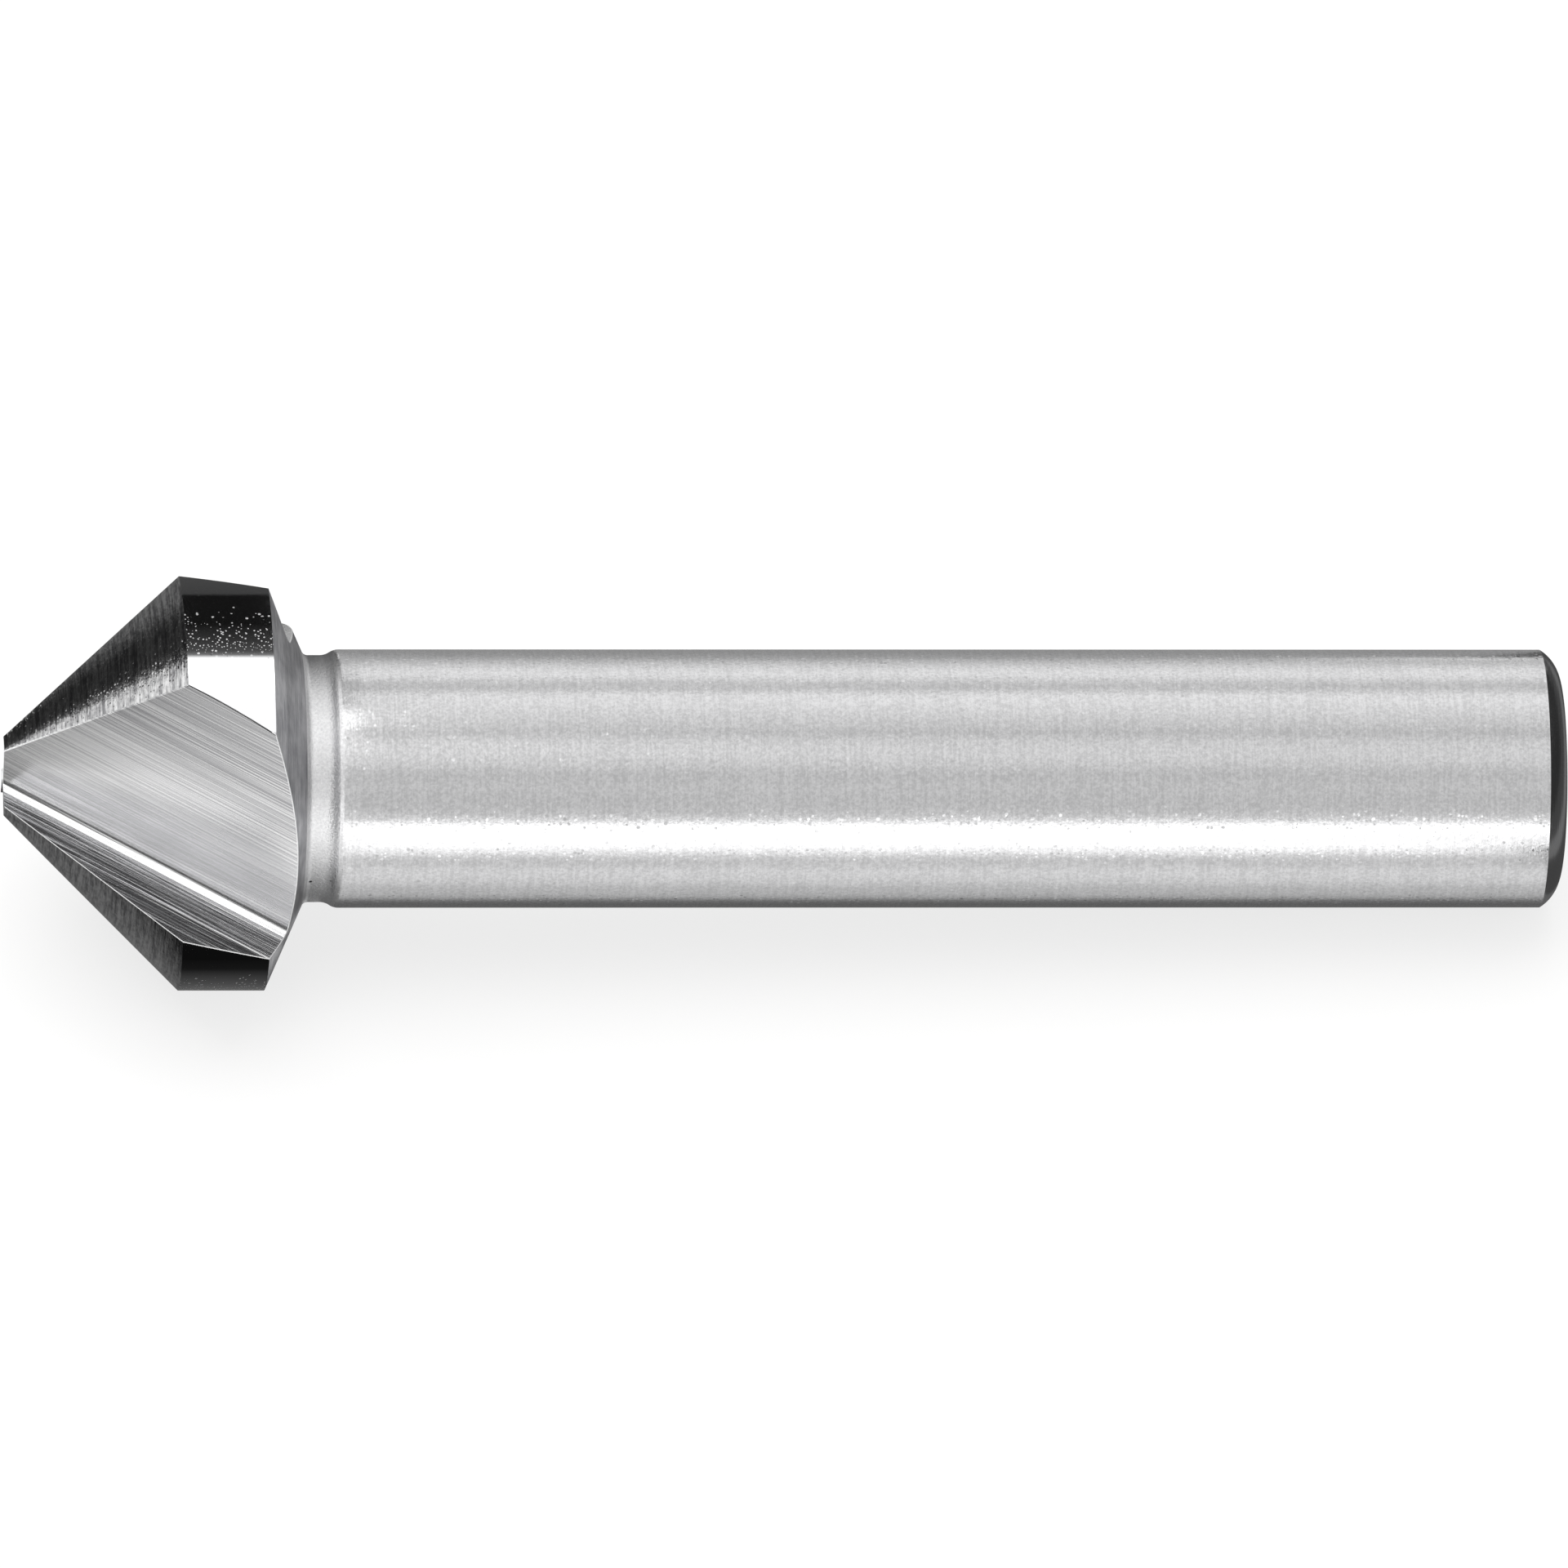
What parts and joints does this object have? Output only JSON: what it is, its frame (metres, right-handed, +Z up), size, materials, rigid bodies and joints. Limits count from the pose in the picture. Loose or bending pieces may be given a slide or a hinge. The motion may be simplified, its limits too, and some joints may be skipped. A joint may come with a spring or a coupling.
{
  "type": "countersink bit",
  "caption": "Countersink bit for 90 degree screw seats: conical fluted cutting head with relieved lands, grinding groove and plain round shank.",
  "frame": {"origin": "middle of the underside of the bounding box, on the surface that the bit lies on", "axes": "+X from the tip towards the shank's end (the axis falls 2.3 degrees towards that end, as the bit lies), +Z up, away from the surface"},
  "size_m": [0.0605, 0.0165, 0.0154],
  "materials": {
    "steel": "bright ground high-speed steel, with fine grinding marks around the axis and along the flutes"
  },
  "bodies": {
    "root": {"countersink": "steel"}
  },
  "joints": []
}
